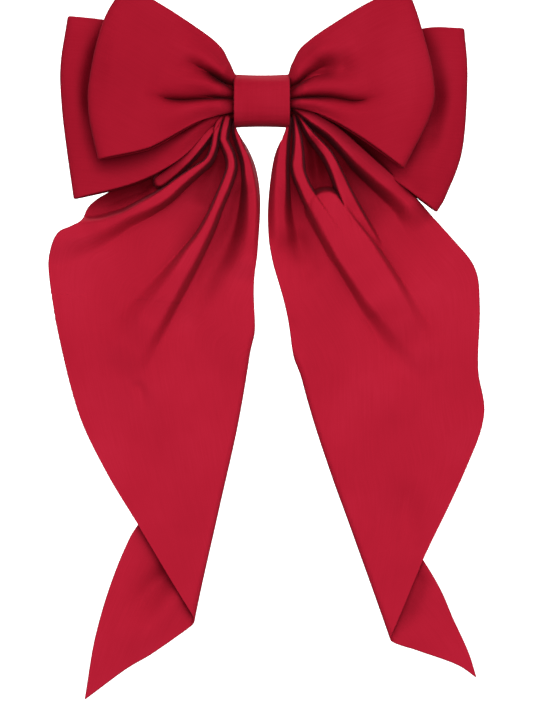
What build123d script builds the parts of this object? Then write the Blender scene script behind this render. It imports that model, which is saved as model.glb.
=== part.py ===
from build123d import *
import os

# A long-tailed satin hair bow on a French barrette. Millimetres, +Z up, the wearer's head towards +Y.
# The origin is the middle of the gap that the hair passes through.

# Knot: the wrap and the gathered layers inside it, listed from the head outwards
wrap_width = 22.7
wrap_top = 10.8
wrap_bottom = -10.6
wrap_front = -21.0
wrap_back = -5.1
wrap_wall = 1.0
wrap_corner = 2.5
neck_half_height = 7.5
neck_half_length = 13.0
tails_neck_y = (-10.0, -7.9)
rear_neck_y = (-14.0, -10.9)
front_neck_y = (-18.7, -15.0)
thread_thickness = 0.4
thread_width = 3.0
binding_y = (-19.3, -6.55)
binding_half_height = 8.5

# Loops: satin doubled over, so the wall stands for both layers and the crimp between them
loop_wall = 1.6
loop_hollow_start = 17.0
loop_neck_overlap = 1.0
loop_overrun = 0.5
hollow_overrun = 1.0
hollow_half_slit = 0.3
belly_share = 0.62
neck_share = 0.7
outside_x = 100.0
bow_front_y = -60.0
bow_depth = 80.0
front_belly_y = (-37.0, -20.6)
rear_belly_y = (-17.4, -8.4)

# Tails
tail_rear = -2.8
tail_front = -5.4
tail_top = -9.0

# Barrette
cutter_front_y = -20.0
cutter_length = 40.0
plate_thickness = 0.8
plate_half_length = 42.0
plate_half_width = 4.5
plate_front_y = -7.4
plate_radius = 170.0
pin_x, pin_y = -39.5, 5.0
pin_radius = 0.6
pin_clearance = 0.05
pin_head_radius = 1.0
pin_head_thickness = 0.4
ear_inner, ear_outer = 3.2, 4.0
ear_half_length = 2.0
ear_above_pin = 2.0
arm_front_y = 2.3
arm_start_gap = 0.8
arm_thickness = 0.8
arm_radius = 300.0
arm_half_width = 3.0
arm_end = 44.0
arm_frame_start = 36.5
arm_frame_half_width = 4.0
knuckle_radius = 1.6
window_start, window_end = 38.3, 42.2
window_half_width = 2.45
spring_thickness = 0.4
spring_half_length = 31.0
spring_rear_y = -2.4
spring_radius = 534.0
spring_half_width = 3.0
rivet_radius = 0.9
rivet_head_radius = 1.6
rivet_head_thickness = 0.4
rivet_slope = 0.45
rivet_gap = 0.05
spring_rivet_x = -29.5
catch_rivet_x = 34.5
bracket_start = 32.5
bracket_thickness = 0.5
bracket_half_width = 3.4
wing_start, wing_end = 38.7, 41.8
wing_inner, wing_outer = 1.5, 2.1
wing_foot_y, wing_tip_y = -0.7, 9.2
barb_low_y, barb_high_y = 6.25, 7.6
barb_reach = 2.75

os.makedirs("parts", exist_ok=True)


def save(piece, name):
    """Label a finished sub-part and write it under its own name."""
    piece.part.label = name
    export_step(piece.part, f"parts/{name}.step")


def arc_height(x, front_y, radius):
    """Y of a bowed strip's front face at x, on a circle centred behind it."""
    return front_y + radius - (radius**2 - x**2) ** 0.5


def bowed_strip(x_from, x_to, front_y, radius, thickness):
    """Outline, seen from above, of a strip bowed on a circle whose centre is on the Y axis."""
    x_middle = (x_from + x_to) / 2
    front = [(x, arc_height(x, front_y, radius)) for x in (x_from, x_middle, x_to)]
    back = [(x, arc_height(x, front_y + thickness, radius - thickness)) for x in (x_to, x_middle, x_from)]
    ThreePointArc(*front)
    Line(front[2], back[0])
    ThreePointArc(*back)
    Line(back[2], front[0])


# ---- Loops -----------------------------------------------------------------------------------------


def teardrop(side, start, tip, neck_y, belly_y):
    """Outline of one loop from above: flat at the neck, a belly each way, and a round outer fold."""
    belly_x = side * (start + belly_share * (tip - start))
    fold = (side * tip, (belly_y[0] + belly_y[1]) / 2)
    front = Spline((side * start, neck_y[0]), (belly_x, belly_y[0]), fold, tangents=[(side, -0.1), (0, 1)])
    back = Spline(fold, (belly_x, belly_y[1]), (side * start, neck_y[1]), tangents=[(0, 1), (-side, -0.05)])
    Line(back @ 1, front @ 0)


def loop_face(side, neck_top, top, top_corner, low_corner, bottom, neck_low):
    """What the slanted upper and lower edges of one loop leave of it, seen from the front."""
    outside = side * outside_x
    Spline(neck_top, top, top_corner)
    Polyline(top_corner, (outside, top_corner[1]), (outside, low_corner[1]), low_corner)
    Spline(low_corner, bottom, neck_low)
    Line(neck_low, neck_top)


def bow_layer(neck_y, belly_y, loops):
    """Two hollow loops and the gathered neck that joins them, as one band of cloth."""
    neck_middle = (neck_y[0] + neck_y[1]) / 2
    slit = (neck_middle - hollow_half_slit, neck_middle + hollow_half_slit)
    lining = (belly_y[0] + loop_wall, belly_y[1] - loop_wall)
    with BuildPart() as layer:
        for loop in loops:
            side = loop["side"]
            low, high = loop["low_corner"][1], loop["top_corner"][1]
            heights = (low - loop_overrun, (low + high) / 2, high + loop_overrun)
            for height, tip in zip(heights, loop["tips"]):
                with BuildSketch(Plane.XY.offset(height)):
                    with BuildLine():
                        teardrop(side, neck_half_length - loop_neck_overlap, tip, neck_y, belly_y)
                    make_face()
            loft()
        for loop in loops:
            side = loop["side"]
            low, high = loop["low_corner"][1], loop["top_corner"][1]
            heights = (low - hollow_overrun, (low + high) / 2, high + hollow_overrun)
            for height, tip in zip(heights, loop["tips"]):
                with BuildSketch(Plane.XY.offset(height)):
                    with BuildLine():
                        teardrop(side, loop_hollow_start, tip - loop_wall, slit, lining)
                    make_face()
            loft(mode=Mode.SUBTRACT)
        with BuildSketch(Plane.XZ.offset(-bow_front_y)):
            for loop in loops:
                side = loop["side"]
                neck_x = side * neck_half_length * neck_share
                with BuildLine():
                    loop_face(
                        side,
                        (neck_x, neck_half_height),
                        loop["top"],
                        loop["top_corner"],
                        loop["low_corner"],
                        loop["bottom"],
                        (neck_x, loop["neck_low"]),
                    )
                make_face()
        extrude(amount=-bow_depth, mode=Mode.INTERSECT)
        with BuildSketch(Plane.XZ.offset(-neck_y[0])):
            Rectangle(2 * neck_half_length, 2 * neck_half_height)
        extrude(amount=neck_y[0] - neck_y[1])
    return layer


front_loops = [
    {
        "side": -1,
        "tips": (67.2, 71.4, 56.3),
        "top": (-35.3, 33.4),
        "top_corner": (-56.3, 46.1),
        "low_corner": (-67.2, -25.3),
        "bottom": (-34.0, -13.6),
        "neck_low": -4.5,
    },
    {
        "side": 1,
        "tips": (58.4, 70.8, 60.0),
        "top": (30.2, 30.5),
        "top_corner": (60.0, 44.5),
        "low_corner": (58.4, -28.7),
        "bottom": (30.2, -8.9),
        "neck_low": -3.0,
    },
]
rear_loops = [
    {
        "side": -1,
        "tips": (78.5, 84.4, 81.0),
        "top": (-45.0, 22.0),
        "top_corner": (-81.0, 35.2),
        "low_corner": (-78.5, -40.4),
        "bottom": (-34.4, -24.1),
        "neck_low": -6.5,
    },
    {
        "side": 1,
        "tips": (73.1, 85.8, 84.4),
        "top": (45.0, 20.0),
        "top_corner": (84.4, 30.1),
        "low_corner": (73.1, -45.9),
        "bottom": (33.0, -13.0),
        "neck_low": -5.5,
    },
]
save(bow_layer(front_neck_y, front_belly_y, front_loops), "front_bow")
save(bow_layer(rear_neck_y, rear_belly_y, rear_loops), "rear_bow")

# ---- Knot ------------------------------------------------------------------------------------------

with BuildPart() as centre_wrap:
    with BuildSketch(Plane.YZ.offset(-wrap_width / 2)):
        with Locations(((wrap_front + wrap_back) / 2, (wrap_top + wrap_bottom) / 2)):
            RectangleRounded(wrap_back - wrap_front, wrap_top - wrap_bottom, wrap_corner)
            RectangleRounded(
                wrap_back - wrap_front - 2 * wrap_wall,
                wrap_top - wrap_bottom - 2 * wrap_wall,
                wrap_corner - wrap_wall,
                mode=Mode.SUBTRACT,
            )
    extrude(amount=wrap_width)
save(centre_wrap, "centre_wrap")

with BuildPart() as tails_neck:
    with BuildSketch(Plane.XZ.offset(-tails_neck_y[0])):
        Rectangle(2 * neck_half_length, 2 * neck_half_height)
    extrude(amount=tails_neck_y[0] - tails_neck_y[1])
save(tails_neck, "tails_neck")


def winding(y_low, y_high, half_height):
    """A thread wound round one gathered layer, as a flat closed band."""
    with BuildPart() as band:
        with BuildSketch(Plane.YZ.offset(-thread_width / 2)):
            with Locations(((y_low + y_high) / 2, 0)):
                RectangleRounded(
                    y_high - y_low + 2 * thread_thickness,
                    2 * (half_height + thread_thickness),
                    2 * thread_thickness,
                )
                Rectangle(y_high - y_low, 2 * half_height, mode=Mode.SUBTRACT)
        extrude(amount=thread_width)
    return band


save(winding(*front_neck_y, neck_half_height), "front_bow_thread")
save(winding(*rear_neck_y, neck_half_height), "rear_bow_thread")
save(winding(*tails_neck_y, neck_half_height), "tails_thread")
save(winding(*binding_y, binding_half_height), "binding_thread")

# ---- Tails -----------------------------------------------------------------------------------------


def tail(upper, outer_edge, hem_notch, tip, hem_corner, inner_edge):
    """One hanging tail as a flat plate, with the folded-back corner below its slanted hem."""
    with BuildPart() as strip:
        with BuildSketch(Plane.XZ.offset(-tail_front)):
            with BuildLine():
                Line(inner_edge[-1], upper[0])
                Polyline(*upper)
                Spline(upper[-1], *outer_edge, hem_notch)
                Polyline(hem_notch, tip, hem_corner)
                Spline(hem_corner, *inner_edge)
            make_face()
        extrude(amount=tail_front - tail_rear)
    return strip


tail_left = tail(
    upper=[(-14.0, tail_top), (-30.0, tail_top)],
    outer_edge=[(-68.0, -36.0), (-89.5, -70.0), (-78.0, -131.0)],
    hem_notch=(-52.1, -178.6),
    tip=(-74.3, -251.3),
    hem_corner=(-28.1, -215.6),
    inner_edge=[(-10.5, -136.0), (-4.6, -84.0), (-1.0, -40.0), (-6.0, -15.0)],
)
save(tail_left, "tail_left")
tail_right = tail(
    upper=[(14.0, tail_top), (36.0, tail_top)],
    outer_edge=[(72.0, -44.0), (92.0, -76.0), (93.7, -130.0)],
    hem_notch=(68.5, -192.1),
    tip=(89.9, -241.6),
    hem_corner=(54.2, -225.7),
    inner_edge=[(29.4, -156.0), (9.7, -81.0), (2.5, -50.0), (6.0, -15.0)],
)
save(tail_right, "tail_right")

# ---- Barrette --------------------------------------------------------------------------------------

plate_back_radius = plate_radius - plate_thickness


def plate_back_y(x):
    """Y of the base plate's rear face."""
    return arc_height(x, plate_front_y + plate_thickness, plate_back_radius)


def rivet_hole(x):
    """Sketch circle for a rivet, on a plane seen from the front."""
    with Locations((x, 0)):
        Circle(rivet_radius)


with BuildPart() as base_plate:
    with BuildSketch(Plane.XY.offset(-plate_half_width)):
        with BuildLine():
            bowed_strip(-plate_half_length, plate_half_length, plate_front_y, plate_radius, plate_thickness)
        make_face()
    extrude(amount=2 * plate_half_width)
    for low in (-ear_outer, ear_inner):
        with BuildSketch(Plane.XY.offset(low)):
            with BuildLine():
                foot = plate_back_y(pin_x) - plate_thickness / 2
                crown = (pin_x, pin_y + ear_above_pin)
                left, right = pin_x - ear_half_length, pin_x + ear_half_length
                Polyline((left, pin_y), (left, foot), (right, foot), (right, pin_y))
                ThreePointArc((right, pin_y), crown, (left, pin_y))
            make_face()
            with Locations((pin_x, pin_y)):
                Circle(pin_radius, mode=Mode.SUBTRACT)
        extrude(amount=ear_outer - ear_inner)
    with BuildSketch(Plane.XZ.offset(-cutter_front_y)):
        rivet_hole(spring_rivet_x)
        rivet_hole(catch_rivet_x)
    extrude(amount=-cutter_length, mode=Mode.SUBTRACT)
save(base_plate, "base_plate")

with BuildPart() as hinge_pin:
    with BuildSketch(Plane.XY.offset(-ear_outer)):
        with Locations((pin_x, pin_y)):
            Circle(pin_radius)
    extrude(amount=2 * ear_outer)
    for low in (-ear_outer - pin_head_thickness, ear_outer):
        with BuildSketch(Plane.XY.offset(low)):
            with Locations((pin_x, pin_y)):
                Circle(pin_head_radius)
        extrude(amount=pin_head_thickness)
save(hinge_pin, "hinge_pin")

with BuildPart() as clasp_arm:
    with BuildSketch(Plane.XY.offset(-arm_half_width)):
        with BuildLine():
            bowed_strip(pin_x + arm_start_gap, arm_end, arm_front_y, arm_radius, arm_thickness)
        make_face()
        with Locations((pin_x, pin_y)):
            Circle(knuckle_radius)
    extrude(amount=2 * arm_half_width)
    with BuildSketch(Plane.XY.offset(-arm_frame_half_width)):
        with BuildLine():
            bowed_strip(arm_frame_start, arm_end, arm_front_y, arm_radius, arm_thickness)
        make_face()
    extrude(amount=2 * arm_frame_half_width)
    with BuildSketch(Plane.XY.offset(-arm_half_width)):
        with Locations((pin_x, pin_y)):
            Circle(pin_radius + pin_clearance)
    extrude(amount=2 * arm_half_width, mode=Mode.SUBTRACT)
    with BuildSketch(Plane.XZ.offset(-cutter_front_y)):
        with Locations(((window_start + window_end) / 2, 0)):
            Rectangle(window_end - window_start, 2 * window_half_width)
    extrude(amount=-cutter_length, mode=Mode.SUBTRACT)
save(clasp_arm, "clasp_arm")


def spring_back_y(x):
    """Y of the tension spring's rear face, which bows towards the clasp arm."""
    return spring_rear_y - x**2 / (2 * spring_radius)


with BuildPart() as tension_spring:
    with BuildSketch(Plane.XY.offset(-spring_half_width)):
        with BuildLine():
            ends_y = spring_back_y(spring_half_length)
            end, thickness = spring_half_length, spring_thickness
            ThreePointArc((-end, ends_y), (0, spring_rear_y), (end, ends_y))
            Line((end, ends_y), (end, ends_y - thickness))
            ThreePointArc((end, ends_y - thickness), (0, spring_rear_y - thickness), (-end, ends_y - thickness))
            Line((-end, ends_y - thickness), (-end, ends_y))
        make_face()
    extrude(amount=2 * spring_half_width)
    with BuildSketch(Plane.XZ.offset(-cutter_front_y)):
        rivet_hole(spring_rivet_x)
    extrude(amount=-cutter_length, mode=Mode.SUBTRACT)
save(tension_spring, "tension_spring")


def rivet(x, y_front, y_back):
    """A shank along Y with a low head on each end, outside the faces that it clamps."""
    with BuildPart() as fastener:
        with BuildSketch(Plane.XZ.offset(-y_front)):
            with Locations((x, 0)):
                Circle(rivet_head_radius)
        extrude(amount=rivet_head_thickness)
        with BuildSketch(Plane.XZ.offset(-y_front)):
            rivet_hole(x)
        extrude(amount=y_front - y_back)
        with BuildSketch(Plane.XZ.offset(-y_back)):
            with Locations((x, 0)):
                Circle(rivet_head_radius)
        extrude(amount=-rivet_head_thickness)
    return fastener


with BuildPart() as catch_bracket:
    with BuildSketch(Plane.XY.offset(-bracket_half_width)):
        with BuildLine():
            bowed_strip(
                bracket_start,
                plate_half_length,
                plate_front_y + plate_thickness,
                plate_back_radius,
                bracket_thickness,
            )
        make_face()
    extrude(amount=2 * bracket_half_width)
    with BuildSketch(Plane.XZ.offset(-cutter_front_y)):
        rivet_hole(catch_rivet_x)
    extrude(amount=-cutter_length, mode=Mode.SUBTRACT)
save(catch_bracket, "catch_bracket")


def catch_wing(side):
    """One prong of the catch, seen along X: a thin leg with a barb that hooks behind the arm."""
    with BuildPart() as wing:
        with BuildSketch(Plane.YZ.offset(wing_start)):
            with BuildLine():
                Polyline(
                    (wing_foot_y, side * wing_inner),
                    (wing_foot_y, side * wing_outer),
                    (barb_low_y, side * wing_outer),
                    (barb_low_y, side * barb_reach),
                    (barb_high_y, side * wing_outer),
                    (wing_tip_y, side * wing_outer),
                    (wing_tip_y, side * wing_inner),
                    close=True,
                )
            make_face()
        extrude(amount=wing_end - wing_start)
    return wing


save(catch_wing(1), "catch_wing_upper")
save(catch_wing(-1), "catch_wing_lower")

catch_rivet = rivet(
    catch_rivet_x,
    plate_back_y(catch_rivet_x) - plate_thickness - rivet_slope,
    plate_back_y(catch_rivet_x) + bracket_thickness + rivet_slope,
)
save(catch_rivet, "catch_rivet")
spring_rivet = rivet(
    spring_rivet_x,
    plate_back_y(spring_rivet_x) - plate_thickness - rivet_slope,
    spring_back_y(spring_rivet_x + rivet_head_radius) + rivet_gap,
)
save(spring_rivet, "spring_rivet")
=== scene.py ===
import bpy
import math
import numpy as np
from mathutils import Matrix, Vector


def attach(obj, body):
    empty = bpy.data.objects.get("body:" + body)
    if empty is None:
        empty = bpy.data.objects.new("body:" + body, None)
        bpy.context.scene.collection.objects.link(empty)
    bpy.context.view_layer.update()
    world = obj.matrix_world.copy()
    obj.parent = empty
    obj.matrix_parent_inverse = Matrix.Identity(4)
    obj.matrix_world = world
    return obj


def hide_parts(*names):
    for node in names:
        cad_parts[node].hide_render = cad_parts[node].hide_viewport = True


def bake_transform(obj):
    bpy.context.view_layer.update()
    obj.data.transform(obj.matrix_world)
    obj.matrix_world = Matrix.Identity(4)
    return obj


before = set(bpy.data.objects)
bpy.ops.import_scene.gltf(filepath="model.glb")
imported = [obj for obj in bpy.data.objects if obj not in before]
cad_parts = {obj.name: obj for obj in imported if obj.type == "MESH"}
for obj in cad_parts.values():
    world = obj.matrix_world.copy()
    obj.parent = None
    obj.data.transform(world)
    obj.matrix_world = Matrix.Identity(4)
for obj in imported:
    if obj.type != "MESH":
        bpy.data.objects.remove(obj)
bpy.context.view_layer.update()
BOW = "bow_and_clip"
MM = 0.001
LOOP_CLOTH = 1.1  # two layers of satin
TAIL_CLOTH = 0.7
EDGE_ROUNDING = 0.4  # how far a cloth's edge bulges, as a share of its thickness

# A long-tailed satin bow on a French barrette. Cloth is worked out in millimetres as (x, z) seen from
# the front plus a depth y, and scaled to metres when its mesh is made. Edges and folds are lists of
# (x, z) points. They run from the knot outwards, or from top to bottom where they cross a loop or a tail.

# ---- Curves and patches ----------------------------------------------------------------------------

STEPS_PER_SPAN = 24
FOLD_STEPS = 40
FOLD_REACH = 4  # a fold adds next to nothing beyond this many widths
PLEAT_REACH = 1.5  # a pleat adds nothing beyond this many half widths
RIPPLE_WAVES = 7
RIPPLE_PEAK = 3  # about the highest that the sum of the waves comes to


def curve(points, count=200):
    """Smooth line through the points (Catmull-Rom), with evenly spaced samples."""
    p = np.array(points, float)
    if len(p) == 2:
        return p[0] + (p[1] - p[0]) * np.linspace(0, 1, count)[:, None]
    p = np.vstack([2 * p[0] - p[1], p, 2 * p[-1] - p[-2]])
    t = np.linspace(0, 1, STEPS_PER_SPAN, endpoint=False)[:, None]
    runs = []
    for a, b, c, d in zip(p[:-3], p[1:-2], p[2:-1], p[3:]):
        runs.append(0.5 * (2 * b + (c - a) * t + (2 * a - 5 * b + 4 * c - d) * t**2
                           + (3 * b - a - 3 * c + d) * t**3))
    dense = np.vstack([*runs, p[-2:-1]])
    return even(dense, count)


def even(line, count):
    """The same line with evenly spaced samples."""
    far = np.concatenate([[0], np.cumsum(np.linalg.norm(np.diff(line, axis=0), axis=1))])
    at = np.linspace(0, far[-1], count)
    return np.stack([np.interp(at, far, line[:, k]) for k in range(line.shape[1])], 1)


def sample(line, share):
    """Points at the given shares, 0 to 1, of an evenly sampled line."""
    at = np.linspace(0, 1, len(line))
    return np.stack([np.interp(share, at, line[:, k]) for k in range(line.shape[1])], -1)


def patch(top, bottom, near, far, r, t):
    """Surface between four edge lines (a Coons patch). r runs from near to far, t from top to bottom."""
    along = sample(top, r) * (1 - t)[..., None] + sample(bottom, r) * t[..., None]
    across = sample(near, t) * (1 - r)[..., None] + sample(far, t) * r[..., None]
    corners = (
        top[0] * ((1 - r) * (1 - t))[..., None]
        + top[-1] * (r * (1 - t))[..., None]
        + bottom[0] * ((1 - r) * t)[..., None]
        + bottom[-1] * (r * t)[..., None]
    )
    return along + across - corners


def smooth(x, low, high):
    """0 below low, 1 above high, and an easy slope between."""
    t = np.clip((x - low) / (high - low), 0, 1)
    return t * t * (3 - 2 * t)


def nearest(points, line):
    """For each point: the share along the line of its nearest place, and its signed distance."""
    a, b = line[:-1], line[1:]
    ab = b - a
    long = (ab**2).sum(1)
    flat = points.reshape(-1, 2)
    t = np.clip(((flat[:, None] - a) * ab).sum(2) / long, 0, 1)
    gap = flat[:, None] - (a + ab * t[..., None])
    squared = (gap**2).sum(2)
    best = squared.argmin(1)
    rows = np.arange(len(flat))
    side = ab[best, 0] * gap[rows, best, 1] - ab[best, 1] * gap[rows, best, 0]
    share = (best + t[rows, best]) / len(a)
    distance = np.sqrt(squared[rows, best]) * np.where(side < 0, -1, 1)
    return share.reshape(points.shape[:-1]), distance.reshape(points.shape[:-1])


def eased(share, values):
    """Values spread along a path, with a level start and end to each step between them."""
    at = share * (len(values) - 1)
    step = np.clip(at.astype(int), 0, len(values) - 2)
    values = np.array(values, float)
    return values[step] + (values[step + 1] - values[step]) * smooth(at - step, 0, 1)


def fold(points, path, width, height, sharp=2.0):
    """Depth that one fold adds towards the viewer: a ridge, or a crease where height is negative.
    width and height are spread along the path; sharp 1 is a crisp cusp, 2 soft and 4 flat-topped."""
    line = curve(path, FOLD_STEPS)
    reach = FOLD_REACH * max(width)
    close = ((points > line.min(0) - reach) & (points < line.max(0) + reach)).all(-1)
    share, distance = nearest(points[close], line)
    w = np.interp(share, np.linspace(0, 1, len(width)), width)
    h = eased(share, height)
    depth = np.zeros(points.shape[:-1])
    depth[close] = h * np.exp(-((np.abs(distance) / w) ** sharp))
    return depth


def pleat(points, path, width, height, left=(1.6,), right=(1.6,)):
    """Depth of one flat-topped fold. width is half its width, and left and right are how far its walls
    take to rise, looking along the path. All of them are spread along it."""
    line = curve(path, FOLD_STEPS)
    reach = PLEAT_REACH * max(width)
    close = ((points > line.min(0) - reach) & (points < line.max(0) + reach)).all(-1)
    share, distance = nearest(points[close], line)
    w, a, b = (np.interp(share, np.linspace(0, 1, len(v)), v) for v in (width, left, right))
    h = eased(share, height)
    depth = np.zeros(points.shape[:-1])
    depth[close] = h * smooth(w - distance, 0, a) * smooth(w + distance, 0, b)
    return depth


def ripple(points, size, height, seed):
    """Low, broad unevenness of soft cloth: a few waves in fixed directions."""
    random = np.random.default_rng(seed)
    total = np.zeros(points.shape[:-1])
    for _ in range(RIPPLE_WAVES):
        heading = random.uniform(0, math.tau)
        wave = math.tau / (size * random.uniform(0.6, 1.6))
        phase = random.uniform(0, math.tau)
        onward = points[..., 0] * math.cos(heading) + points[..., 1] * math.sin(heading)
        total += np.sin(wave * onward + phase)
    return total * height / RIPPLE_PEAK


# ---- Meshes ----------------------------------------------------------------------------------------


def normals(grid):
    """Unit normals of a grid of points."""
    n = np.cross(np.gradient(grid, axis=0), np.gradient(grid, axis=1))
    return n / np.maximum(np.linalg.norm(n, axis=2), 1e-9)[..., None]


def cloth_skin(grid, thickness):
    """Vertices, faces and flat coordinates of a cloth of that thickness on a grid of points, with
    rounded edges: the outline of the sheet is a third ring of points between its two faces."""
    rows, columns = grid.shape[:2]
    n = normals(grid)
    front = grid + n * thickness / 2
    back = grid - n * thickness / 2
    index = np.arange(rows * columns).reshape(rows, columns)
    ring = np.concatenate([index[0, :-1], index[:-1, -1], index[-1, :0:-1], index[:0:-1, 0]])
    inner = np.clip(np.stack(np.unravel_index(ring, (rows, columns)), 1), 1, [rows - 2, columns - 2])
    edge = grid.reshape(-1, 3)[ring]
    outward = edge - grid[inner[:, 0], inner[:, 1]]
    outward /= np.maximum(np.linalg.norm(outward, axis=1), 1e-9)[:, None]
    edge = edge + outward * thickness * EDGE_ROUNDING
    points = np.vstack([front.reshape(-1, 3), back.reshape(-1, 3), edge])
    count = rows * columns
    a, b, c, d = index[:-1, :-1], index[1:, :-1], index[1:, 1:], index[:-1, 1:]
    faces = np.stack([a, b, c, d], -1).reshape(-1, 4)
    step = np.roll(ring, -1)
    rim = 2 * count + np.arange(len(ring))
    rim_step = np.roll(rim, -1)
    faces = np.vstack([
        faces,
        faces[:, ::-1] + count,
        np.stack([ring, rim, rim_step, step], 1)[:, ::-1],
        np.stack([rim, ring + count, step + count, rim_step], 1)[:, ::-1],
    ])
    row_steps = np.linalg.norm(np.diff(grid, axis=0), axis=2)
    column_steps = np.linalg.norm(np.diff(grid, axis=1), axis=2)
    along = np.concatenate([np.zeros((1, columns)), np.cumsum(row_steps, 0)])
    across = np.concatenate([np.zeros((rows, 1)), np.cumsum(column_steps, 1)], 1)
    flat = np.stack([along.mean(1)[:, None] + 0 * across, across], -1).reshape(-1, 2)
    flat = np.vstack([flat, flat, flat[ring]])
    return points, faces, flat


def mesh_piece(name, skins, material):
    """One object from several cloth skins, scaled from millimetres to metres."""
    all_points, all_faces, all_flat, count = [], [], [], 0
    for points, faces, flat in skins:
        all_points.append(points)
        all_faces.append(faces + count)
        all_flat.append(flat)
        count += len(points)
    points = np.vstack(all_points) * MM
    faces = np.vstack(all_faces)
    flat = np.vstack(all_flat) * MM
    mesh = bpy.data.meshes.new(name)
    mesh.from_pydata(points.tolist(), [], faces.tolist())
    uv = mesh.uv_layers.new(name="cloth")
    uv.data.foreach_set("uv", flat[faces.reshape(-1)].astype(np.float32).reshape(-1))
    mesh.validate()
    for polygon in mesh.polygons:
        polygon.use_smooth = True
    piece = bpy.data.objects.new(name, mesh)
    bpy.context.scene.collection.objects.link(piece)
    mesh.materials.append(material)
    return piece


def with_depth(flat, y):
    """Points (x, y, z) from (x, z) and a depth."""
    return np.stack([flat[..., 0], y, flat[..., 1]], -1)


# ---- Materials -------------------------------------------------------------------------------------

THREAD_PITCH = 0.00032
WAVE_RADIANS = 20  # a wave texture of scale 1 turns through 20 radians in each unit of length
SHADOW_REACH = 0.022  # how far the satin looks round itself for the folds that shade it


class Shader:
    """A new node material with short calls for its nodes and links."""

    def __init__(self, name):
        self.material = bpy.data.materials.new(name)
        self.material.use_nodes = True
        self.tree = self.material.node_tree
        self.surface = self.tree.nodes["Principled BSDF"]

    def node(self, kind, inputs=(), **settings):
        made = self.tree.nodes.new(kind)
        for key, value in settings.items():
            setattr(made, key, value)
        for key, value in dict(inputs).items():
            if isinstance(value, bpy.types.NodeSocket):
                self.tree.links.new(value, made.inputs[key])
            else:
                made.inputs[key].default_value = value
        return made

    def set(self, **values):
        for key, value in values.items():
            socket = self.surface.inputs[key.replace("_", " ")]
            if isinstance(value, bpy.types.NodeSocket):
                self.tree.links.new(value, socket)
            else:
                socket.default_value = value

    def noise(self, source, scale, detail=2.0, roughness=0.5):
        inputs = {"Vector": source, "Scale": scale, "Detail": detail, "Roughness": roughness}
        return self.node("ShaderNodeTexNoise", inputs).outputs["Fac"]

    def scaled(self, source, across, along):
        """Coordinates multiplied by a scale each way."""
        return self.node("ShaderNodeMapping", {"Vector": source, "Scale": (across, along, along)}).outputs[0]

    def ramp(self, source, stops):
        """A colour ramp through (place, colour) stops."""
        made = self.node("ShaderNodeValToRGB", {"Fac": source})
        elements = made.color_ramp.elements
        elements[0].position, elements[0].color = stops[0][0], (*stops[0][1], 1)
        elements[1].position, elements[1].color = stops[-1][0], (*stops[-1][1], 1)
        for place, colour in stops[1:-1]:
            elements.new(place).color = (*colour, 1)
        return made.outputs["Color"]

    def remap(self, source, low, high, from_low=0.0, from_high=1.0):
        """Values stretched from one range to another."""
        inputs = {0: source, 1: from_low, 2: from_high, 3: low, 4: high}
        return self.node("ShaderNodeMapRange", inputs).outputs[0]

    def calculate(self, operation, a, b):
        """Two values added, multiplied or otherwise worked out."""
        return self.node("ShaderNodeMath", {0: a, 1: b}, operation=operation).outputs[0]

    def mix(self, a, b, share):
        """A value between a and b."""
        return self.node("ShaderNodeMix", {0: share, 2: a, 3: b}, data_type="FLOAT").outputs[0]

    def multiply_colours(self, a, b):
        inputs = {0: 1.0, 6: a, 7: b}
        return self.node("ShaderNodeMix", inputs, data_type="RGBA", blend_type="MULTIPLY").outputs[2]

    def bump(self, height, strength, distance, under=None):
        inputs = {"Height": height, "Strength": strength, "Distance": distance}
        if under:
            inputs["Normal"] = under
        return self.node("ShaderNodeBump", inputs).outputs[0]


def satin_material(name, base, deep, light):
    """Satin: fine crossed threads, slubs along the warp, a soft pink sheen, and painted shade that darkens
    its colour in the folds.
    """
    s = Shader(name)
    uv = s.node("ShaderNodeTexCoord").outputs["UV"]
    place = s.node("ShaderNodeTexCoord").outputs["Object"]
    wave_scale = math.tau / THREAD_PITCH / WAVE_RADIANS
    threads = {"Vector": uv, "Scale": wave_scale, "Distortion": 0.6, "Detail": 1.0}
    warp = s.node("ShaderNodeTexWave", threads, bands_direction="Y").outputs["Fac"]
    weft = s.node("ShaderNodeTexWave", threads, bands_direction="X").outputs["Fac"]
    weave = s.calculate("MULTIPLY", warp, weft)
    slub = s.noise(s.scaled(uv, across=60, along=1400), scale=1.0, detail=3.0)
    cloudy = s.noise(place, scale=22.0, detail=3.0, roughness=0.55)
    crumple = s.noise(place, scale=90.0, detail=2.0)
    colour = s.ramp(s.mix(cloudy, slub, share=0.3), [(0.3, deep), (0.5, base), (0.72, light)])
    # Painted shade: ambient occlusion darkens the satin's base colour in its folds, creases and pockets.
    open_sky = s.node("ShaderNodeAmbientOcclusion", {"Distance": SHADOW_REACH}, samples=8).outputs["AO"]
    shade = s.ramp(open_sky, [(0.28, (0.22, 0.15, 0.15)), (0.9, (1, 1, 1))])
    s.set(Base_Color=s.multiply_colours(colour, shade))
    grain = s.bump(weave, strength=0.25, distance=0.00006)
    grain = s.bump(slub, strength=0.18, distance=0.00012, under=grain)
    s.set(Normal=s.bump(crumple, strength=0.12, distance=0.0011, under=grain))
    s.set(Roughness=s.remap(slub, low=0.48, high=0.62))
    s.set(Specular_IOR_Level=0.03, Specular_Tint=(1.0, 0.25, 0.35, 1), Anisotropic=0.4)
    s.set(Sheen_Weight=0.06, Sheen_Roughness=0.4, Sheen_Tint=(1.0, 0.3, 0.4, 1))
    return s.material


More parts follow.
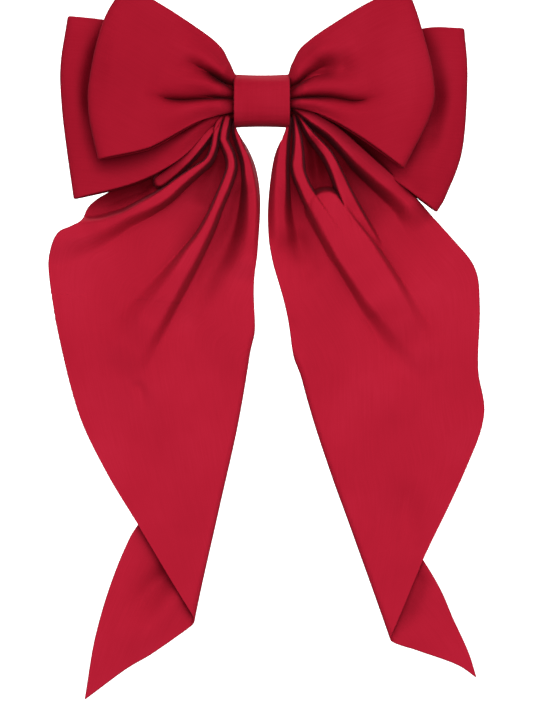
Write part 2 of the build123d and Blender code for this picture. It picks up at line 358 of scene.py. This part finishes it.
def thread_material():
    """Twisted sewing thread: tight slanted bands along the object's own axes."""
    s = Shader("twisted_thread")
    place = s.node("ShaderNodeTexCoord").outputs["Object"]
    bands = {"Vector": place, "Scale": 900.0, "Distortion": 0.8}
    twist = s.node("ShaderNodeTexWave", bands, bands_direction="DIAGONAL").outputs["Fac"]
    s.set(Base_Color=s.ramp(twist, [(0.0, (0.12, 0.003, 0.01)), (1.0, (0.42, 0.02, 0.045))]))
    s.set(Normal=s.bump(twist, strength=0.6, distance=0.0001), Roughness=0.6)
    return s.material


def metal_material(name, dark, bright, rough, grain):
    """Nickel-plated steel: drawing marks along the strip, faint clouding and worn, paler corners."""
    s = Shader(name)
    place = s.node("ShaderNodeTexCoord").outputs["Object"]
    drawn = s.noise(s.scaled(place, across=60, along=2600), scale=1.0, detail=4.0)
    cloudy = s.noise(place, scale=160.0, detail=4.0, roughness=0.6)
    corners = s.node("ShaderNodeNewGeometry").outputs["Pointiness"]
    worn = s.remap(corners, low=0.0, high=0.35, from_low=0.5, from_high=0.56)
    s.set(Base_Color=s.ramp(s.calculate("ADD", cloudy, worn), [(0.25, dark), (0.85, bright)]))
    s.set(Roughness=s.remap(drawn, low=rough * 0.75, high=rough * 1.35), Metallic=1.0)
    s.set(Normal=s.bump(drawn, strength=grain, distance=0.00005))
    return s.material


SATIN = satin_material(
    "crimson_satin",
    base=(0.425, 0.0095, 0.0275),
    deep=(0.38, 0.0078, 0.0235),
    light=(0.47, 0.013, 0.035),
)
# The tails' satin is a lighter copy of the loops' satin: painted light, standing in for the satin's sheen
# falling brighter on the tails.
SATIN_TAILS_PAINTED_LIGHTER = satin_material(
    "crimson_satin_tails_painted_lighter",
    base=(0.53, 0.014, 0.038),
    deep=(0.478, 0.0117, 0.0325),
    light=(0.584, 0.0187, 0.0485),
)
THREAD = thread_material()
NICKEL = metal_material(
    "nickel_plated_steel", dark=(0.50, 0.49, 0.47), bright=(0.78, 0.77, 0.75), rough=0.26, grain=0.12
)
SPRING_STEEL = metal_material(
    "spring_steel", dark=(0.36, 0.36, 0.37), bright=(0.62, 0.62, 0.63), rough=0.2, grain=0.08
)

# ---- Loops -----------------------------------------------------------------------------------------

LOOP_REACH = 60.0  # length of the profiles below, from the knot to the outer fold
CROWN = 1.2  # how much further a loop bulges in the middle than at its edges
CALM_FROM = 0.88  # where the relief starts to fade out towards the outer fold
CALM_TO = 0.99


def gathers(r, t, seams, height, reach):
    """Rounded lobes between the seams, crisp at the knot and soft further out, where they fade."""
    limits = [0, *seams, 1]
    crisp, soft = np.zeros(r.shape), np.zeros(r.shape)
    for low, high in zip(limits, limits[1:]):
        w = (t - (low + high) / 2) / ((high - low) / 2)
        inside = np.abs(w) <= 1
        crisp += np.where(inside, np.sqrt(np.clip(1 - w**2, 0, 1)), 0)
        soft += np.where(inside, 0.5 + 0.5 * np.cos(math.pi * w), 0)
    share = smooth(r, 0.15, 0.45)
    return (crisp * (1 - share) + soft * share) * height * np.interp(r, [0.12, *reach], [0.1, 1.0, 0.5, 0.0])


def loop_skin(edges, profile, front_seams, rear_seams, front_folds, rear_folds, seed, rows=300, columns=130):
    """One loop as a band of cloth: out along the front, round the fold and back along the rear."""
    top, bottom, outer = (curve(edges[k]) for k in ("top", "bottom", "outer"))
    neck = curve([edges["top"][0], edges["bottom"][0]])
    band = curve([(LOOP_REACH * share, depth) for share, depth in profile], rows)
    r = np.clip(band[:, 0] / LOOP_REACH, 0, 1)[:, None] * np.ones((1, columns))
    t = np.linspace(0, 1, columns)[None] * np.ones((rows, 1))
    flat = patch(top, bottom, neck, outer, r, t)
    turn = np.argmax(band[:, 0])
    is_front = (np.arange(rows) <= turn)[:, None]
    away = 1 - smooth(r, CALM_FROM, CALM_TO)
    crown = 1 - (2 * t - 1) ** 2
    sign = np.where(is_front, -1, 1)
    relief = np.where(
        is_front,
        gathers(r, t, front_seams, height=3.8, reach=(0.24, 0.42, 0.62)),
        gathers(r, t, rear_seams, height=1.5, reach=(0.2, 0.4, 0.8)),
    )
    for folds, where in ((front_folds, is_front), (rear_folds, ~is_front)):
        for settings in folds:
            relief = relief + np.where(where, fold(flat, **settings), 0)
    relief = relief + CROWN * crown * smooth(r, 0.1, 0.6)
    relief = relief + ripple(flat, size=34, height=0.45, seed=seed) * smooth(r, 0.15, 0.5)
    depth = band[:, 1][:, None] + sign * relief * away
    return cloth_skin(with_depth(flat, depth), LOOP_CLOTH)


FRONT_LEFT = {
    "top": [(0, 7.5), (-10, 9), (-14, 15.5), (-19, 23), (-35.5, 34), (-56.3, 46.1)],
    "bottom": [(0, -3.5), (-11, -4.5), (-26, -9), (-42, -18.3), (-50, -21.6), (-67.2, -25.3)],
    "outer": [(-56.3, 46.1), (-65, 31.5), (-70.6, 8.7), (-71, -7.3), (-67.2, -25.3)],
}
FRONT_RIGHT = {
    "top": [(0, 7.5), (10, 9), (13, 15), (17.5, 22), (30, 30.5), (45, 39), (60, 44.8)],
    "bottom": [(0, -3), (11, -2.6), (23, -5.6), (37.5, -13.6), (58.4, -28.7)],
    "outer": [(60, 44.8), (65.1, 30), (70.4, 8), (69.3, -6.4), (58.4, -28.7)],
}
REAR_LEFT = {
    "top": [(0, 7.5), (-10, 8.5), (-30, 20), (-58, 31.5), (-81, 35.2)],
    "bottom": [(0, -5.5), (-11, -6.4), (-21.8, -11.5), (-34.4, -24.1), (-53, -34), (-78.5, -40.6)],
    "outer": [(-81, 35.2), (-84, 15), (-83.5, -2), (-81.5, -19.4), (-78.5, -40.6)],
}
REAR_RIGHT = {
    "top": [(0, 7.5), (10, 8.5), (35, 20), (65, 29.3), (84.4, 30.1)],
    "bottom": [(0, -5.5), (11, -5), (22, -10), (42, -23.2), (56, -33), (73.1, -45.9)],
    "outer": [(84.4, 30.1), (85.7, 10), (83.6, -20), (77, -38.8), (73.1, -45.9)],
}
# Profiles are (share of the way from the knot to the outer fold, depth y), out in front and back behind.
FRONT_PROFILE = [
    (0, -17.6), (0.13, -17.8), (0.24, -20), (0.45, -26), (0.75, -31), (0.95, -31.5), (1.0, -28.5),
    (0.95, -25.5), (0.75, -22.5), (0.45, -19), (0.2, -16), (0, -15.6),
]
REAR_PROFILE = [
    (0, -13.8), (0.2, -14), (0.5, -16), (0.8, -17.5), (0.96, -16.5), (1.0, -13.5), (0.96, -10.5),
    (0.8, -9), (0.5, -9.5), (0.2, -10.8), (0, -11.2),
]


def front_bow():
    """The two front loops, each with two deep creases that run out from the knot."""
    left = [
        dict(path=[(-9, 5), (-16.8, 7.9), (-24.4, 12.5), (-34, 16.5)], width=(0.9, 1.5, 2.0, 3.5),
             height=(-3, -5.5, -3, 0), sharp=1.3),
        dict(path=[(-12, 9.5), (-19, 12), (-27, 16.5), (-37, 20)], width=(2, 3, 4.5, 6),
             height=(1, 2.6, 1.6, 0)),
        dict(path=[(-9, 1), (-22, 0.2), (-36, -0.5), (-50, 1.5)], width=(0.7, 1.0, 1.8, 3.5),
             height=(-2.5, -3.6, -4.2, 0), sharp=1.3),
    ]
    right = [
        dict(path=[(9, 4.5), (15, 7), (20.2, 11), (28, 15)], width=(0.8, 1.3, 2.2, 3.5),
             height=(-2.5, -4, -3.5, 0), sharp=1.3),
        dict(path=[(27, 13.6), (33, 13.2)], width=(4, 5), height=(-4.5, -2.5)),
        dict(path=[(24, 19), (34, 20.5)], width=(4, 5), height=(1.6, 0.8)),
        dict(path=[(9, 0.3), (27, 0.8), (39.5, -1.2), (52, 1)], width=(0.6, 1.0, 1.8, 3.5),
             height=(-2.5, -3.2, -4.2, 0), sharp=1.3),
    ]
    skins = [
        loop_skin(FRONT_LEFT, FRONT_PROFILE, (0.38, 0.68), (0.3, 0.62), left, [], seed=3),
        loop_skin(FRONT_RIGHT, FRONT_PROFILE, (0.45, 0.77), (0.35, 0.7), right, [], seed=4),
    ]
    return mesh_piece("front_bow_satin", skins, SATIN)


def rear_bow():
    """The larger pair of loops behind, hollowed where the front pair presses on them."""
    left = [
        dict(path=[(-60, 33), (-68, 20), (-72, 4), (-71, -14)], width=(4, 4.5, 5, 5),
             height=(-1.5, -3, -3.4, -1)),
    ]
    right = [
        dict(path=[(63, 30), (69, 18), (72, 2), (70, -14)], width=(4, 4.5, 5.5, 5),
             height=(-1.5, -2.4, -4.4, -2)),
        dict(path=[(14, -5), (30, -13), (45, -24), (64, -38)], width=(5, 7, 7, 5), height=(-3, -4, -4, -1.5)),
    ]
    skins = [
        loop_skin(REAR_LEFT, REAR_PROFILE, (0.35, 0.7), (0.25, 0.5, 0.76), left, [], seed=5),
        loop_skin(REAR_RIGHT, REAR_PROFILE, (0.4, 0.75), (0.3, 0.52, 0.8), right, [], seed=6),
    ]
    return mesh_piece("rear_bow_satin", skins, SATIN)


# ---- Wrap ------------------------------------------------------------------------------------------

# Values for the front half come first, then those for the back half. A corner of 1 is round, 0 square.
WRAP_CLOTH = 0.9
WRAP_HALF_WIDTH = 11.4
WRAP_HALF_HEIGHT = 10.6
WRAP_HALF_DEPTH = (9.8, 8.6)
WRAP_CORNER_DEPTH = (0.8, 0.6)
WRAP_CORNER_HEIGHT = (0.8, 0.5)
WRAP_MIDDLE_Y = -13.6
WRAP_MIDDLE_Z = 0.1
WRAP_PINCH = 0.4


def wrap_skin(rows=140, columns=60):
    """The band round the knot: round in front, boxier behind, and pinched a little in the middle."""
    angle = np.linspace(math.pi, 3 * math.pi, rows)[:, None]
    x = np.linspace(-WRAP_HALF_WIDTH, WRAP_HALF_WIDTH, columns)[None]
    c, s = np.cos(angle), np.sin(angle)
    front = c > 0
    half_depth = np.where(front, *WRAP_HALF_DEPTH) + 0 * x
    half_height = WRAP_HALF_HEIGHT - WRAP_PINCH * (1 - (x / WRAP_HALF_WIDTH) ** 2)
    y = WRAP_MIDDLE_Y - np.sign(c) * np.abs(c) ** np.where(front, *WRAP_CORNER_DEPTH) * half_depth
    z = WRAP_MIDDLE_Z + np.sign(s) * np.abs(s) ** np.where(front, *WRAP_CORNER_HEIGHT) * half_height
    fine_lines = 0.03 * np.sin(z * 1.9 + 0.15 * x) + 0.02 * np.sin(z * 3.7 - 0.1 * x + 1)
    y = y - fine_lines * (c > 0.3)
    return np.stack([x + 0 * y, y, z], -1)


def wrap():
    """The satin band that covers the knot and the middle of the clip."""
    return mesh_piece("centre_wrap_satin", [cloth_skin(wrap_skin(), WRAP_CLOTH)], SATIN)


# ---- Tails -----------------------------------------------------------------------------------------

MERGE = 5  # how crisply crossing pleats keep apart
FOLD_RADIUS = 2.3  # of the edge where the inner strip turns behind
FOLD_START = 0.12  # share of its line over which the fold sets in
CALM_STRIP = 9.0  # the relief fades out this close to the fold


def fold_back(flat, depth, line, side, radius):
    """Turns the part of a tail past the line behind the rest, round a small radius."""
    share, distance = nearest(flat, line)
    tangent = np.gradient(line, axis=0)
    tangent /= np.linalg.norm(tangent, axis=1)[:, None]
    foot = sample(line, share)
    along = sample(tangent, share)
    outward = np.stack([-along[..., 1], along[..., 0]], -1) * side
    inset = radius * smooth(share, 0, FOLD_START)
    start = distance * side + inset
    angle = np.clip(start / radius, 0, math.pi)
    past = np.maximum(start - math.pi * radius, 0)
    across = np.where(start > 0, radius * np.sin(angle) - past, start) - inset
    behind = np.where(start > 0, radius * (1 - np.cos(angle)), 0)
    turned = share > 0
    moved = foot + outward * across[..., None]
    return np.where(turned[..., None], moved, flat), depth + np.where(turned, behind, 0)


def tail_skin(edges, lift, pleats, hollows, seed, side, rows=420, columns=190):
    """One tail: flat patch, relief of its folds, then the inner strip turned behind along its line.
    lift is the tail's depth y as (share of the way down, depth), and side is 1 or -1 for left or right."""
    outer, inner, hem = (curve(edges[k]) for k in ("outer", "inner", "hem"))
    neck = curve([edges["outer"][0], edges["inner"][0]])
    r = (np.linspace(0, 1, rows) ** 1.15)[:, None] * np.ones((1, columns))
    t = np.linspace(0, 1, columns)[None] * np.ones((rows, 1))
    flat = patch(outer, inner, neck, hem, r, t)
    relief = sum(pleat(flat, **settings) ** MERGE for settings in pleats) ** (1 / MERGE)
    for settings in hollows:
        relief = relief + fold(flat, **settings)
    relief = relief + ripple(flat, size=46, height=0.7, seed=seed) * smooth(r, 0.08, 0.3)
    line = curve(edges["fold"], 120)
    relief = relief * smooth(np.abs(nearest(flat, line)[1]), 0, CALM_STRIP)
    depth = np.interp(r, *zip(*lift)) - relief
    flat, depth = fold_back(flat, depth, line, side, FOLD_RADIUS)
    return cloth_skin(with_depth(flat, depth), TAIL_CLOTH)


LEFT_TAIL = {
    "outer": [(-9, 2), (-30, -19), (-60, -35), (-72, -42.5), (-76, -49.5), (-80, -52), (-86, -55),
              (-89.5, -63), (-89.9, -73), (-85.7, -99), (-77.3, -131.6), (-65.5, -156.4), (-52.1, -178.6)],
    "inner": [(-9, -5), (-10.8, -12), (-6, -20), (-2.5, -29), (-1, -42), (-2, -62), (-3.5, -85), (2, -139),
              (11, -188), (12.6, -205), (10.6, -238), (5.8, -266.7)],
    "hem": [(-52.1, -178.6), (-38.5, -201.5), (-28.6, -217.6), (-25, -224), (-15, -238.2), (-5.9, -249.2),
            (5.8, -266.7)],
    "fold": [(-3.5, -85), (-5, -103), (-10.5, -136), (-18.9, -173.6), (-28.6, -217.6), (-37.6, -268.5)],
}
RIGHT_TAIL = {
    "outer": [(9, 2), (21, -5), (32, -11.6), (43.3, -21.3), (62, -38), (80, -57), (90, -70), (92, -86),
              (91.3, -112), (93.7, -132), (86, -155), (68.5, -192.1)],
    "inner": [(9, -5), (10, -12), (5.5, -23), (3.2, -38), (2.7, -52), (4.5, -66), (12, -96.7), (16, -153),
              (21, -214), (26.2, -238), (29.3, -252), (32.9, -262.4)],
    "hem": [(68.5, -192.1), (54.2, -225.7), (46.2, -238.5), (36.4, -253), (32.9, -262.4)],
    "fold": [(12, -96.7), (20.5, -129), (29.4, -156.4), (38.2, -180.7), (54.2, -225.7), (68, -267)],
}


def tail_left():
    """Four pleats that fan out from the knot, the pockets between them, and soft dents further down."""
    pleats = [
        dict(path=[(-18, -7), (-22, -13), (-27.5, -19.5), (-33.5, -25.4), (-39.5, -30.5), (-43, -33)],
             width=(2.2, 2.2, 2.4, 2.9, 3.2, 3.4), height=(7, 8, 8, 7, 6, 5),
             left=(1.0, 1.6), right=(1.0, 1.6)),
        dict(path=[(-17.6, -7), (-19.4, -14), (-20.2, -19.4), (-22.7, -24.8), (-28.1, -29), (-34.7, -34.1),
                   (-42.5, -40.4), (-57, -48.4), (-72, -55), (-86, -58)],
             width=(2, 1.8, 1.9, 2.9, 3.9, 4.4, 4.6, 6.4, 9, 11), height=(8, 9, 9, 9, 9, 8, 7, 5.6, 4, 3),
             left=(1.2, 1.6, 2.8, 6, 12), right=(1.2, 1.4, 2.4, 3.6, 4.6)),
        dict(path=[(-14.4, -7), (-16.2, -15.8), (-14, -20.6), (-12.7, -26.6), (-14.3, -32.6), (-17.3, -39.8),
                   (-24.5, -55.4), (-36, -73), (-50, -92), (-65, -113)],
             width=(2.2, 2.2, 2.5, 2.8, 3.9, 5.8, 8, 10.5, 13, 16),
             height=(8, 9, 9, 9, 9, 8.5, 7, 4.8, 2.4, 0),
             left=(1.6, 1.6, 2.6, 4.5, 8), right=(1.4, 1.5, 3.2, 9, 17)),
        dict(path=[(-10.5, -8), (-10.5, -13), (-8.5, -19), (-6, -26), (-4.8, -38), (-6, -54), (-10, -76)],
             width=(1.8, 2.3, 3.4, 5, 6.2, 8, 12), height=(6, 7, 6.5, 6, 5, 3, 0),
             left=(2, 2.4, 4, 6), right=(1.4, 2.2, 7, 12)),
    ]
    hollows = [
        dict(path=[(-50, -36), (-60, -40), (-70, -44)], width=(3, 3, 3), height=(-1.5, -1.8, -0.5)),
        dict(path=[(-46, -34), (-54, -39.5)], width=(1.2, 1.6), height=(-1.4, 0), sharp=1.3),
        dict(path=[(-19, -26), (-22, -34), (-27, -45)], width=(4, 6, 9), height=(-3.5, -3, 0)),
        dict(path=[(-9, -38), (-12, -50), (-17, -62), (-28, -83), (-40, -104)], width=(4, 5.5, 7, 8, 9),
             height=(-3, -4.4, -4.4, -2.4, 0)),
        dict(path=[(-52, -120), (-46.6, -136)], width=(2.5, 4), height=(-1.1, 0)),
        dict(path=[(-15.5, -213), (-8.5, -232), (-2, -246)], width=(5, 6, 8), height=(2, 2, 0)),
        dict(path=[(-11, -202), (-4, -216), (-1, -232)], width=(5, 6, 7), height=(-3.4, -3, 0)),
    ]
    lift = [(0, -9.4), (0.05, -8.6), (0.12, -6), (0.2, -5), (1, -5)]
    skin = tail_skin(LEFT_TAIL, lift, pleats, hollows, seed=11, side=1)
    return mesh_piece("tail_left_satin", [skin], SATIN_TAILS_PAINTED_LIGHTER)


def tail_right():
    """Two narrow arms that join into one broad ridge, a pleat on either side, and the pockets between."""
    pleats = [
        dict(path=[(12, 2), (25, -5), (33, -10), (41, -17.5), (50, -26), (61, -36), (73, -49)],
             width=(5, 7, 8, 9.5, 10, 11, 14), height=(7, 10, 11.5, 11.5, 10.5, 7, 0),
             left=(1.6, 1.6, 2, 4), right=(1.6, 1.8, 4, 9)),
        dict(path=[(14.5, -5), (19.9, -13.2), (23.5, -17.4), (27.7, -22.6), (31.5, -30), (35, -38.5),
                   (41, -51), (48.5, -65)],
             width=(0.9, 1.9, 2.5, 2.9, 3.6, 4.4, 5, 5), height=(7, 9, 9, 9, 8.6, 6.8, 3.5, 0),
             left=(1.4, 1.4, 2.4), right=(1.3, 1.6, 2.6)),
        dict(path=[(13.3, -6), (14.8, -14), (15.2, -21.2), (15.2, -28.4), (18, -36), (23, -45), (30, -57),
                   (38, -70)],
             width=(1, 2, 3, 3, 3.8, 5, 6, 6), height=(7, 9, 9, 9, 8.6, 6.4, 3, 0),
             left=(1.4, 1.6, 2.6), right=(1.3, 1.6, 2.6)),
        dict(path=[(27, -44), (32, -52), (38.5, -62), (45.5, -73), (53.5, -86), (61, -98), (73, -116)],
             width=(9.2, 9.8, 10.3, 10.8, 11.3, 12.5, 16), height=(8.4, 7.8, 6.8, 5.6, 4, 2.5, 0),
             left=(3.8, 2.6, 3.6, 7, 13), right=(3.8, 2.8, 4.4, 9, 15)),
        dict(path=[(10.8, -8), (8.6, -18), (7.4, -30), (7.4, -46), (10, -64)], width=(2, 3.6, 4.8, 6, 8),
             height=(6, 6.5, 6, 4, 0), left=(1.4, 2.4, 7), right=(2, 4, 6)),
    ]
    hollows = [
        dict(path=[(37, -29), (42, -38), (50, -56)], width=(5, 8, 10), height=(-3.4, -2.6, 0)),
        dict(path=[(12, -38), (16, -60), (24, -76)], width=(4, 8, 9), height=(-2, -3.4, 0)),
        dict(path=[(15.5, -58), (20, -70)], width=(4.5, 5), height=(-2.4, -1)),
        dict(path=[(21, -17), (23, -27), (24.5, -36)], width=(2.4, 3.6, 4), height=(-3, -4.5, -2)),
        dict(path=[(47, -92), (61, -111), (74, -128)], width=(4, 5, 7), height=(-1.4, -1.4, 0)),
        dict(path=[(59, -150), (61.5, -178), (61, -196)], width=(6, 7, 8), height=(0, -2.2, -1.2)),
        dict(path=[(28, -217), (40, -223), (48, -229)], width=(5, 6, 6), height=(-2.2, -2, 0)),
    ]
    lift = [(0, -10.5), (0.06, -8.6), (0.14, -6), (0.2, -5), (1, -5)]
    skin = tail_skin(RIGHT_TAIL, lift, pleats, hollows, seed=12, side=-1)
    return mesh_piece("tail_right_satin", [skin], SATIN_TAILS_PAINTED_LIGHTER)


# ---- The object ------------------------------------------------------------------------------------


def build_cloth():
    """The satin pieces and the CAD nodes they stand for; the loops and the wrap ride on the bow's body."""
    bow = front_bow()
    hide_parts("front_bow")
    rear = rear_bow()
    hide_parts("rear_bow")
    band = wrap()
    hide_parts("centre_wrap")
    for piece in (bow, rear, band):
        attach(piece, BOW)
    left, right = tail_left(), tail_right()
    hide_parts("tail_left", "tails_neck")
    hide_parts("tail_right")
    for piece, body, area in ((left, "tail_left", 0.0195), (right, "tail_right", 0.018)):
        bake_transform(piece)


def finish_metal():
    """Metal and thread finishes on the nodes that are carried over from the CAD."""
    finishes = {
        "base_plate": NICKEL, "clasp_arm": NICKEL, "hinge_pin": NICKEL, "spring_rivet": NICKEL,
        "catch_rivet": NICKEL, "catch_bracket": NICKEL, "tension_spring": SPRING_STEEL,
        "catch_wing_upper": SPRING_STEEL, "catch_wing_lower": SPRING_STEEL,
        "front_bow_thread": THREAD, "rear_bow_thread": THREAD, "tails_thread": THREAD,
        "binding_thread": THREAD,
    }
    for node, material in finishes.items():
        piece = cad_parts[node]
        for slot in piece.material_slots:
            slot.material = material
        if not piece.material_slots:
            piece.data.materials.append(material)


# ---- Studio ----------------------------------------------------------------------------------------


def backdrop():
    """A pale wall all round the bow that sweeps in to a floor far below, so views from below stay clear."""
    profile = curve([(0.0002, -3.4), (2.2, -3.4), (3.0, -3.1), (3.3, -2.3), (3.3, 3.6)], 80)
    turns = 64
    angle = np.linspace(0, math.tau, turns, endpoint=False)[:, None]
    radius, height = profile[:, 0], profile[:, 1]
    points = np.stack([radius * np.cos(angle), radius * np.sin(angle), height + 0 * angle], -1)
    index = np.arange(turns * len(profile)).reshape(turns, -1)
    after = np.roll(index, -1, 0)
    faces = np.stack([index[:, :-1], after[:, :-1], after[:, 1:], index[:, 1:]], -1).reshape(-1, 4)
    mesh = bpy.data.meshes.new("backdrop")
    mesh.from_pydata(points.reshape(-1, 3).tolist(), [], faces.tolist())
    for polygon in mesh.polygons:
        polygon.use_smooth = True
    s = Shader("pale_paper")
    place = s.node("ShaderNodeTexCoord").outputs["Object"]
    cloudy = s.noise(place, scale=3.0)
    s.set(Base_Color=s.ramp(cloudy, [(0.3, (0.9, 0.9, 0.9)), (0.7, (0.93, 0.93, 0.93))]))
    s.set(Roughness=0.9)
    s.set(Emission_Color=(1, 1, 1, 1), Emission_Strength=0.7)
    mesh.materials.append(s.material)
    stage = bpy.data.objects.new("backdrop", mesh)
    bpy.context.scene.collection.objects.link(stage)
    stage.visible_diffuse = False
    stage.visible_glossy = False


def area_light(name, place, target, size, power):
    """A round soft light that faces the target."""
    light = bpy.data.lights.new(name, "AREA")
    light.shape = "DISK"
    light.size = size
    light.energy = power
    lamp = bpy.data.objects.new(name, light)
    lamp.location = place
    lamp.rotation_euler = (Vector(target) - Vector(place)).to_track_quat("-Z", "Y").to_euler()
    bpy.context.scene.collection.objects.link(lamp)


def studio():
    """Lights, a white world and a camera straight in front, as far off as the photo's looks."""
    middle = (0, 0, -0.1)
    area_light("key", (0.15, -1.9, 0.4), middle, size=1.3, power=28)
    area_light("fill", (-0.4, -1.8, -0.5), middle, size=1.0, power=3)
    area_light("rear", (0.5, 1.9, 0.1), middle, size=0.9, power=12)
    area_light("wall", (0, 0.9, 1.6), (0, 2.6, 0.2), size=1.6, power=90)
    world = bpy.data.worlds.new("studio")
    world.use_nodes = True
    background = world.node_tree.nodes["Background"]
    background.inputs["Color"].default_value = (1, 1, 1, 1)
    background.inputs["Strength"].default_value = 0.2
    bpy.context.scene.world = world
    bpy.context.scene.view_settings.view_transform = "Standard"
    lens = 120
    sensor = 36
    view_height = 0.2986
    look_at = Vector((0.0019, -0.012, -0.1066))
    camera = bpy.data.cameras.new("camera")
    camera.lens = lens
    camera.sensor_width = sensor
    eye = bpy.data.objects.new("camera", camera)
    eye.location = look_at + Vector((0, -view_height * lens / sensor, 0))
    eye.rotation_euler = (math.pi / 2, 0, 0)
    bpy.context.scene.collection.objects.link(eye)
    bpy.context.scene.camera = eye


build_cloth()
finish_metal()
backdrop()
studio()
